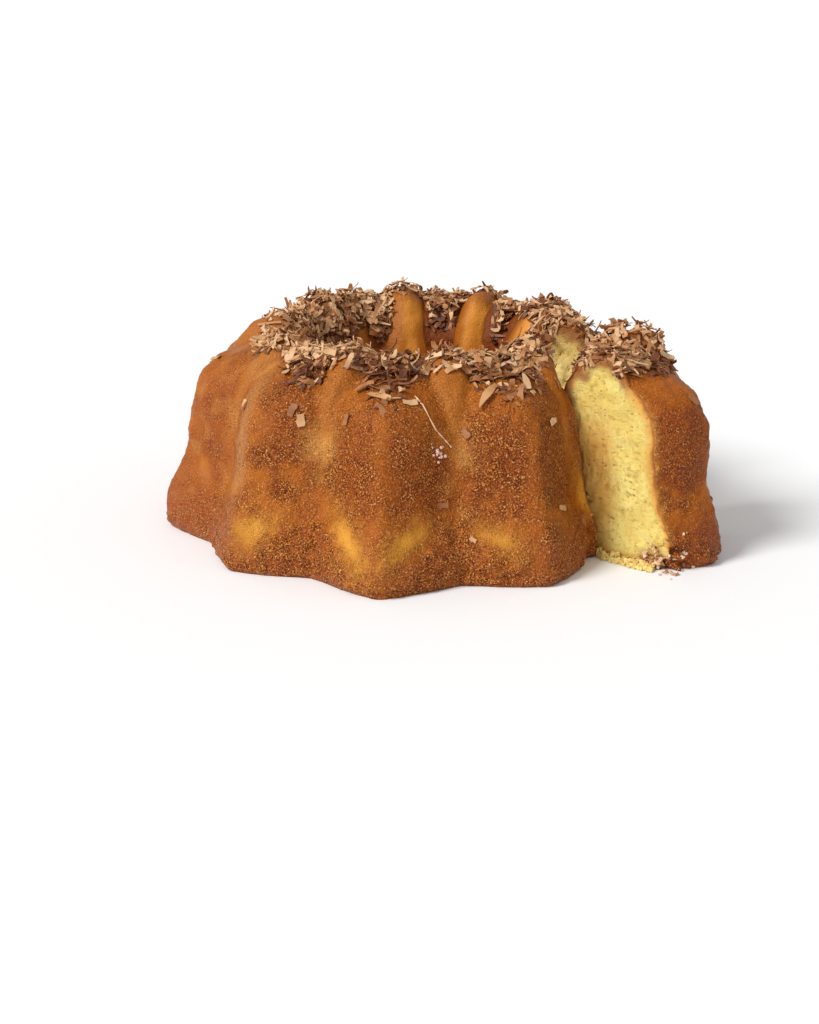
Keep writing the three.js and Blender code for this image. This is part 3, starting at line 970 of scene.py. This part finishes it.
def crumb_material(name, dull, bright):
    material, tree, shader = new_material(name)
    place = place_on(tree)
    broad = noise(tree, place, 90, 4)
    fine = noise(tree, place, 700, 5, 0.7)
    layered = node(tree, "Mapping", {"Vector": place, "Scale": (1, 1, 2.2)}).outputs[0]
    tears = noise(tree, layered, 330, 4, 0.65)
    pores = node(tree, "TexVoronoi", {"Vector": place, "Scale": 620, "Randomness": 1.0})
    pore = ramp(tree, pores.outputs["Distance"], 0.1, 0.32, 1, 0)
    chance = node(tree, "SeparateColor", {0: pores.outputs["Color"]}).outputs[0]
    pore = times(tree, pore, ramp(tree, chance, 0.55, 0.9))
    colour = over(tree, ramp(tree, broad, 0.35, 0.68), dull, bright)
    colour = over(tree, ramp(tree, fine, 0.48, 0.3, 0, 0.6), colour, srgb(200, 154, 64))
    torn = ramp(tree, tears, 0.4, 0.28, 0, 0.45)
    torn = times(tree, torn, ramp(tree, broad, 0.56, 0.38))
    colour = over(tree, torn, colour, srgb(198, 150, 60))
    # Pores and pits are painted darker, a painted shade in the holes
    colour = over(tree, times(tree, pore, 0.35), colour, srgb(184, 138, 52))
    pit_shade = ramp(tree, mask_of(tree, "pits"), 0.15, 0.8, 0, 0.45)
    colour = over(tree, pit_shade, colour, srgb(186, 138, 48))
    depth = maths(tree, "ADD", mask_of(tree, "depth"), times(tree, broad, 2.2))
    colour = over(tree, ramp(tree, depth, 1.8, 6, 1, 0), colour, srgb(222, 156, 66))
    colour = over(tree, ramp(tree, depth, 1.0, 2.4, 1, 0), colour, srgb(160, 90, 42))
    # Painted warm shade where the ring shades the slice's cut face
    colour = over_mask(tree, "painted_warm_shade", 0.6, colour, srgb(206, 136, 44))
    colour = over_mask(tree, "smear_and_dark_corner", 0.9, colour, srgb(156, 92, 44))
    height = maths(tree, "ADD", fine, ramp(tree, tears, 0.27, 0.45, 0, 0.45))
    height = maths(tree, "SUBTRACT", height, times(tree, pore, 0.8))
    fill(tree, shader, {
        "Base Color": colour,
        "Roughness": 0.85,
        "Subsurface Weight": 0.15,
        "Subsurface Radius": (1.0, 0.7, 0.35),
        "Subsurface Scale": 1.5 * MM,
        "Normal": bump(tree, 0.9, 0.7, height),
    })
    return material


def loose_crumb_material():
    material, tree, shader = new_material("loose_crumb")
    place = place_on(tree)
    colour = over(tree, mask_of(tree, "tint"), srgb(168, 98, 42), srgb(252, 226, 190))
    patchy = ramp(tree, noise(tree, place, 420), 0.35, 0.65, 0, 0.35)
    colour = over(tree, patchy, colour, srgb(214, 150, 96))
    broken = over(tree, mask_of(tree, "tint"), srgb(214, 174, 92), srgb(248, 230, 148))
    colour = over(tree, mask_of(tree, "yellow"), colour, broken)
    fill(tree, shader, {"Base Color": colour, "Roughness": 0.8})
    return material


def shaving_material(name, dull, bright):
    """Chocolate that is paler on some shavings than on others."""
    material, tree, shader = new_material(name)
    place = place_on(tree)
    fine = noise(tree, place, 600, 4, 0.6)
    colour = over(tree, mask_of(tree, "tint"), dull, bright)
    colour = over(tree, ramp(tree, fine, 0.55, 0.3, 0, 0.45), colour, dull)
    fill(tree, shader, {"Base Color": colour, "Roughness": 0.6, "Normal": bump(tree, 0.5, 0.3, fine)})
    return material


def glaze_material(name, dull, bright):
    material, tree, shader = new_material(name)
    place = place_on(tree)
    colour = over(tree, noise(tree, place, 500), dull, bright)
    fill(tree, shader, {"Base Color": colour, "Roughness": 0.12})
    fill(tree, shader, {"Coat Weight": 0.8, "Coat Roughness": 0.05})
    return material


# Shavings

def on_surface(angle, way):
    """Points of the cake's smooth surface with the directions round it, up along it and out of it."""
    def at(turned, run):
        line = stations(run)
        lobe, petal, heap = layers(turned, line)
        return put(turned, line, smooth_max(smooth_max(lobe, petal, JOIN_SOFTNESS), heap, JOIN_SOFTNESS))
    run = run_of_way(way)
    points = at(angle, run)
    around = unit(at(angle + SLOPE_TURN, run) - at(angle - SLOPE_TURN, run))
    upward = at(angle, run + SLOPE_RUN) - at(angle, run - SLOPE_RUN)
    out = unit(np.cross(around, upward))
    return points, around, np.cross(out, around), out


def slice_shift():
    """How far the slice is drawn out."""
    along, across = cut_ways(CUT_NEAR)
    return SLICE_OUT * along + SLICE_CLEAR * across


def on_slice(angle):
    turned = wrapped(angle)
    return (turned > CUT_NEAR) & (turned < CUT_FAR)


def heap_places(draw):
    """Places on the crown where shavings lie: deep in the valleys and in piles, and thin on petals."""
    spread = angle_of_flute(draw.uniform(0, FLUTES, SHAVINGS))
    angle = np.concatenate([spread, *(draw.normal(at, wide, count) for at, wide, _, count in PILES)])
    count = len(angle)
    apart, _ = from_ridge(turned_flutes(angle, CREST))
    petal = smooth_step(*HEAP_PETAL, apart)
    edges = [np.interp(angle, *zip(*edge), period=360) for edge in (HEAP_OUTER, HEAP_INNER)]
    low, high = edges + draw.normal(0, HEAP_RAGGED, (2, count))
    share = draw.random(count)
    run = run_of_way(low) + share * (run_of_way(high) - run_of_way(low))
    way = np.interp(run, LINE_RUN, LINE_WAYS)
    depth = HEAP_DEPTH * (1 - 0.6 * petal)
    for at, wide, deeper, _ in PILES:
        depth = depth + deeper * near_angle(angle, at, 1.5 * wide)
    height = depth * draw.random(count) * np.clip(4 * np.minimum(share, 1 - share), 0, 1)
    gaps = [np.abs(wrapped(angle - cut)) for cut in (CUT_NEAR, CUT_FAR)]
    clear = np.radians(np.minimum(*gaps)) * stations(run)["r"] > CLEAR_OF_CUT
    return angle[clear], way[clear], height[clear]


def hanging_places(draw, cut, count, ways, most_drop, sliced):
    """Places just under the top edge of a cut, and the directions along, up and out of the cut."""
    points = on_surface(np.full(count, cut), draw.uniform(*ways, count))[0]
    along, across = cut_ways(cut)
    inward = unit(at_angle(cut, *CUT_CENTRE) - points)
    drop = most_drop * draw.random(count) ** 1.5
    lift = draw.uniform(*HANGING_LIFT, count)
    points = points + drop[:, None] * inward - lift[:, None] * across + sliced * slice_shift()
    return points, *(np.tile(way, (count, 1)) for way in (along, np.array([0, 0, 1]), -across))


def turn_pair(angle, first, second):
    """Two directions at right angles, turned together by an angle."""
    cos, sin = np.cos(angle)[:, None], np.sin(angle)[:, None]
    return cos * first + sin * second, cos * second - sin * first


def strips(draw, centres, around, upward, out, standing, stray, placed):
    """Bent and twisted strips with ragged edges, one at each centre. Strays are broad and almost flat."""
    count = len(centres)
    rows = SHAVING_SEGMENTS + 1
    long = mostly_small(draw, SHAVING_LONG, count, 1.8)
    wide = mostly_small(draw, SHAVING_WIDE, count, 1.5)
    long[stray] = draw.uniform(*STRAY_LONG, stray.sum())
    wide[stray] = draw.uniform(*STRAY_WIDE, stray.sum())
    curl = draw.normal(*SHAVING_CURL, count) * np.where(stray, 0.3, 1)
    curl = np.where(np.abs(curl) < 0.05, 0.05, curl)
    twist = draw.normal(0, SHAVING_TWIST, count) * np.where(stray, 0.2, 1)
    spin = draw.uniform(0, 2 * np.pi, count)
    flat = np.where(stray, 0.15, 1)
    upright = draw.uniform(*STANDING_TILT, count)
    tilt = np.radians(np.where(standing, upright, flat * draw.normal(0, SHAVING_TILT, count)))
    roll = np.radians(flat * draw.normal(0, SHAVING_TILT, count))
    first = slice(len(placed))
    long[first], wide[first], direction, lean = placed.T[3:7]
    spin[first] = np.radians(direction)
    tilt[first] = np.radians(lean)
    roll[first] *= 0.4
    curl[first] = PLACED_CURL
    x, _ = turn_pair(spin, around, upward)
    y = np.cross(out, x)
    x, z = turn_pair(tilt, x, out)
    y, z = turn_pair(roll, y, z)
    share = np.linspace(-0.5, 0.5, rows)
    bend = curl[:, None] * share
    along = np.sin(bend) * (long / curl)[:, None]
    lift = (np.cos(bend) - 1) * (long / curl)[:, None]
    ragged = 1 + draw.normal(0, 0.2, (count, rows, 2))
    taper = draw.uniform(*SHAVING_TAPER, (count, 2)) * np.where(stray, 0.3, 1)[:, None]
    ends = np.where(share < 0, taper[:, :1], taper[:, 1:]) * (2 * share) ** 2
    half = 0.5 * wide[:, None] * (1 - ends)
    turn = twist[:, None] * share
    points = np.empty((count, rows, 4, 3))
    corners = [(-1, -1, 0), (1, -1, 1), (1, 1, 1), (-1, 1, 0)]
    for corner, (across, up, rag) in enumerate(corners):
        side = across * half * ragged[:, :, rag]
        rise = up * SHAVING_THICK / 2
        across_y = side * np.cos(turn) - rise * np.sin(turn)
        across_z = side * np.sin(turn) + rise * np.cos(turn) + lift
        points[:, :, corner] = (
            centres[:, None]
            + along[..., None] * x[:, None]
            + across_y[..., None] * y[:, None]
            + across_z[..., None] * z[:, None]
        )
    return points


def strip_faces(count):
    """The faces of so many strips: their sides and both ends."""
    numbers = np.arange(4 * (SHAVING_SEGMENTS + 1)).reshape(-1, 4)
    one = np.concatenate([belt(numbers), [numbers[0, ::-1], numbers[-1]]])
    return (np.arange(count)[:, None, None] * numbers.size + one).reshape(-1, 4)


def make_shavings():
    draw = np.random.default_rng(31)
    angle, way, height = heap_places(draw)
    placed = np.array(PLACED, float)
    stray = np.array(STRAYS, float)
    singles = len(placed) + len(stray)
    angle = np.concatenate([placed[:, 0], stray[:, 0], angle])
    way = np.concatenate([placed[:, 1], stray[:, 1], way])
    height = np.concatenate([placed[:, 2], np.full(len(stray), STRAY_HEIGHT), height])
    points, around, upward, out = on_surface(angle, way)
    standing = draw.random(len(angle)) < STANDING_SHARE
    standing[:singles] = False
    raised = height + SHAVING_CLEAR + STANDING_RISE * standing
    points = points + raised[:, None] * out + on_slice(angle)[:, None] * slice_shift()
    hanging = [hanging_places(draw, *row) for row in HANGING]
    places = [np.concatenate(parts) for parts in zip((points, around, upward, out), *hanging)]
    extra = np.zeros(len(places[0]) - len(angle))
    order = np.arange(len(places[0]))
    alone = (order >= len(placed)) & (order < singles)
    shapes = strips(draw, *places, np.append(standing, extra > 0), alone, placed)
    # Shavings higher up are paler, partly painted light, and deeper ones darker, partly painted shade
    paler = np.interp(way, *zip(*PALER_WAYS)) + near_places(angle, way, PALER)
    paler = paler + PALER_ABOVE * (np.clip(height / HEAP_DEPTH, 0, 1) - 0.5)
    paler = np.append(paler, extra)
    rolls = draw.random(len(shapes)) - paler
    tint = draw.random((len(shapes), 1)) + draw.normal(0, 0.12, (len(shapes), SHAVING_SEGMENTS + 1))
    tint += 0.35 * np.clip(paler, 0, 1)[:, None]
    kind = np.searchsorted(np.cumsum([share for share, _, _ in KINDS.values()]), rolls)
    kind = np.minimum(kind, len(KINDS) - 1)
    kind[:len(placed)] = placed[:, 7]
    kind[len(placed):singles] = np.arange(len(stray)) % 2
    for number, (name, (_, dull, bright)) in enumerate(KINDS.items()):
        look = shaving_material(name, srgb(*dull), srgb(*bright))
        chosen = shapes[kind == number]
        values = {"tint": np.repeat(np.clip(tint[kind == number], 0, 1).ravel(), 4)}
        faces = [strip_faces(len(chosen))]
        piece = mesh_piece(name, chosen.reshape(-1, 3), faces, [look], None, values, SHAVING_SHARP)


# Glaze and crumbs

def blobs(draw, centres, sizes, uneven):
    """Small uneven balls."""
    ball = bmesh.new()
    bmesh.ops.create_icosphere(ball, subdivisions=2, radius=1)
    ball.verts.index_update()
    ball_points = np.array([point.co for point in ball.verts])
    ball_faces = np.array([[point.index for point in face.verts] for face in ball.faces])
    ball.free()
    count = len(centres)
    stretch = draw.uniform(*BALL_STRETCH, (count, 1, 3))
    bumps = 1 + uneven * draw.normal(size=(count, len(ball_points), 1))
    points = centres[:, None] + ball_points * bumps * stretch * sizes[:, None, None]
    faces = np.arange(count)[:, None, None] * len(ball_points) + ball_faces
    return points.reshape(-1, 3), faces.reshape(-1, 3)


def thread():
    """A thin thread along the surface, thicker and thinner by turns: its points, sides and ends."""
    knots = np.array(THREAD)
    places = np.linspace(0, len(knots) - 1, THREAD_STEPS)
    angle, way = (np.interp(places, np.arange(len(knots)), column) for column in knots.T)
    centre, _, _, out = on_surface(angle, way)
    across = np.cross(out, unit(np.gradient(centre, axis=0)))
    swell = THREAD_RADIUS * (0.25 + 0.75 * np.abs(np.sin(places * THREAD_BEADS)) ** 0.7)
    turn = np.linspace(0, 2 * np.pi, THREAD_SIDES, endpoint=False)[:, None]
    ring = np.cos(turn) * across[:, None] + np.sin(turn) * out[:, None]
    points = centre[:, None] + THREAD_LIFT * out[:, None] + ring * swell[:, None, None]
    numbers = np.arange(THREAD_STEPS * THREAD_SIDES).reshape(THREAD_STEPS, THREAD_SIDES)
    return points.reshape(-1, 3), belt(numbers), np.stack([numbers[0, ::-1], numbers[-1]])


def make_glaze():
    draw = np.random.default_rng(44)
    points, sides, ends = thread()
    angle = DROP_PLACE[0] + draw.normal(0, DROP_SPREAD[0], DROPS)
    way = DROP_PLACE[1] + draw.normal(0, DROP_SPREAD[1], DROPS)
    sizes = draw.uniform(*DROP_SIZE, DROPS)
    drop_points, drop_faces = blobs(draw, on_surface(angle, way)[0], sizes, 0.04)
    thread_look = glaze_material("glaze", srgb(214, 150, 92), srgb(244, 212, 176))
    # The drops are coloured pale pink and white, partly as painted highlights
    drop_highlight_look = glaze_material("glaze_drops_highlight", srgb(206, 140, 108), srgb(250, 222, 206))
    kinds = np.repeat([0, 1], [len(sides) + len(ends), len(drop_faces)])
    faces = [sides, ends, drop_faces + len(points)]
    points = np.concatenate([points, drop_points])
    piece = mesh_piece("glaze", points, faces, [thread_look, drop_highlight_look], kinds)


def crumb_places(draw, cut, into, chip, seed, count):
    """Places round a crumbled corner: on its crust, on its cut and on the floor."""
    angle = cut + into * np.abs(draw.normal(0, CRUST_SPREAD[0], count))
    crust_places = on_surface(angle, np.abs(draw.normal(0, CRUST_SPREAD[1], count)))[0]
    radii = CHIP_RADIUS - np.abs(draw.normal(0, CUT_SPREAD[0], count))
    cut_places = at_angle(cut, radii, np.abs(draw.normal(0, CUT_SPREAD[1], count)))
    worn = chipped(np.concatenate([crust_places, cut_places]), cut, into, chip, seed)
    fallen = count // 3
    bearing = np.radians(cut - into * draw.uniform(*FLOOR_BEARING, fallen))
    away = 1 + np.abs(draw.normal(0, FLOOR_SPREAD, fallen))
    gone = np.stack([away * np.cos(bearing), away * np.sin(bearing), np.zeros(fallen)], -1)
    return np.concatenate([worn, at_angle(cut, FLOOR_RADIUS, CRUMB_LIES) + gone])


def spilled_places(draw):
    """Places where crumb has broken off at the foot of the slice's near cut, lower further out."""
    radii = draw.uniform(*SPILL_RADII, SPILL)
    share = draw.random(SPILL) ** 1.2
    height = CRUMB_LIES + SPILL_HIGH * draw.random(SPILL) * (1 - share)
    out = share * SPILL_OUT * smooth_step(*SPILL_BEGINS, radii)
    return at_angle(CUT_NEAR, radii, height) - out[:, None] * cut_ways(CUT_NEAR)[1] + slice_shift()


def make_crumbs():
    draw = np.random.default_rng(63)
    on_ring = crumb_places(draw, CUT_NEAR, -1, RING_CHIP, 70, RING_CRUMBS)
    on_slice_corner = crumb_places(draw, CUT_NEAR, 1, SLICE_CHIP, 71, SLICE_CRUMBS)
    edge_angles = CUT_NEAR - np.abs(draw.normal(0, EDGE_SPREAD, EDGE_CRUMBS))
    on_edge = on_surface(edge_angles, draw.uniform(*EDGE_WAYS, EDGE_CRUMBS))[0]
    on_edge = chipped(on_edge, CUT_NEAR, -1, RING_CHIP, 70)
    spilled = spilled_places(draw)
    centres = np.concatenate([on_ring, on_edge, on_slice_corner + slice_shift(), spilled])
    yellow = np.arange(len(centres)) >= len(centres) - SPILL
    limits = np.where(yellow, np.array(SPILL_SIZE)[:, None], np.array(CRUMB_SIZE)[:, None])
    sizes = mostly_small(draw, limits, len(centres), 2)
    points, faces = blobs(draw, centres, sizes, 0.2)
    points[:, 2] = np.maximum(points[:, 2], 0)
    tint = draw.random(len(centres)) ** 0.9
    tint[len(on_ring):len(on_ring) + len(on_edge)] *= 0.3
    corners = len(points) // len(centres)
    values = {"tint": np.repeat(tint, corners), "yellow": np.repeat(yellow * 1.0, corners)}
    piece = mesh_piece("crumbs", points, [faces], [loose_crumb_material()], None, values, CRUMB_SHARP)


def make_cake():
    baked = crust_material()
    looks = [baked, crumb_material("crumb_ring", srgb(255, 222, 132), srgb(255, 233, 156))]
    points, faces, kinds, values = wedge(CUT_FAR, CUT_NEAR + 360, RING_STEP, RING_CUT_RINGS, 50, False)
    points = chipped(points, CUT_NEAR, -1, RING_CHIP, 70)
    ring = mesh_piece("ring_baked", points, faces, looks, kinds, values)
    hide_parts("cake_ring")
    looks = [baked, crumb_material("crumb_slice", srgb(232, 203, 108), srgb(246, 229, 139))]
    start = CUT_NEAR + KNIFE_CUT
    points, faces, kinds, values = wedge(start, CUT_FAR, SLICE_STEP, SLICE_CUT_RINGS, 80, True)
    points = chipped(points, CUT_NEAR, 1, SLICE_CHIP, 71)
    piece = mesh_piece("slice_baked", points + slice_shift(), faces, looks, kinds, values)
    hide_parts("cake_slice")


# Floor, light and camera

def make_stage():
    mesh = bpy.data.meshes.new("floor")
    reach = FLOOR_REACH * MM
    corners = [(-reach, -reach, 0), (reach, -reach, 0), (reach, reach, 0), (-reach, reach, 0)]
    mesh.from_pydata(corners, [], [(0, 1, 2, 3)])
    floor = add_object("floor", mesh)
    floor.location.z = -FLOOR_BELOW * MM
    material, tree, shader = new_material("floor")
    white = (0.97, 0.97, 0.97, 1)
    fill(tree, shader, {"Base Color": white, "Roughness": 0.8, "Specular IOR Level": 0})
    mesh.materials.append(material)


def make_light():
    world = bpy.data.worlds.new("studio")
    bpy.context.scene.world = world
    world.use_nodes = True
    tree = world.node_tree
    seen = node(tree, "LightPath").outputs["Is Camera Ray"]
    strength = ramp(tree, seen, 0, 1, *SKY_STRENGTH)
    fill(tree, tree.nodes["Background"], {"Color": (1, 1, 1, 1), "Strength": strength})
    key = bpy.data.lights.new("key", "SUN")
    key.energy = KEY_STRENGTH
    key.angle = math.radians(KEY_SOFTNESS)
    lamp = add_object("key", key)
    lamp.rotation_euler = [math.radians(turn) for turn in KEY_TURN]


def make_camera():
    data = bpy.data.cameras.new("camera")
    data.sensor_width = SENSOR
    data.lens = SENSOR * FOCAL_PIXELS / max(IMAGE)
    camera = add_object("camera", data)
    camera.location = [value * MM for value in CAMERA_PLACE]
    camera.rotation_euler = (math.radians(90 - CAMERA_PITCH), 0, 0)
    bpy.context.scene.camera = camera


bpy.context.scene.view_settings.view_transform = "Standard"
make_camera()
make_light()
make_stage()
make_cake()
make_crumbs()
make_shavings()
make_glaze()
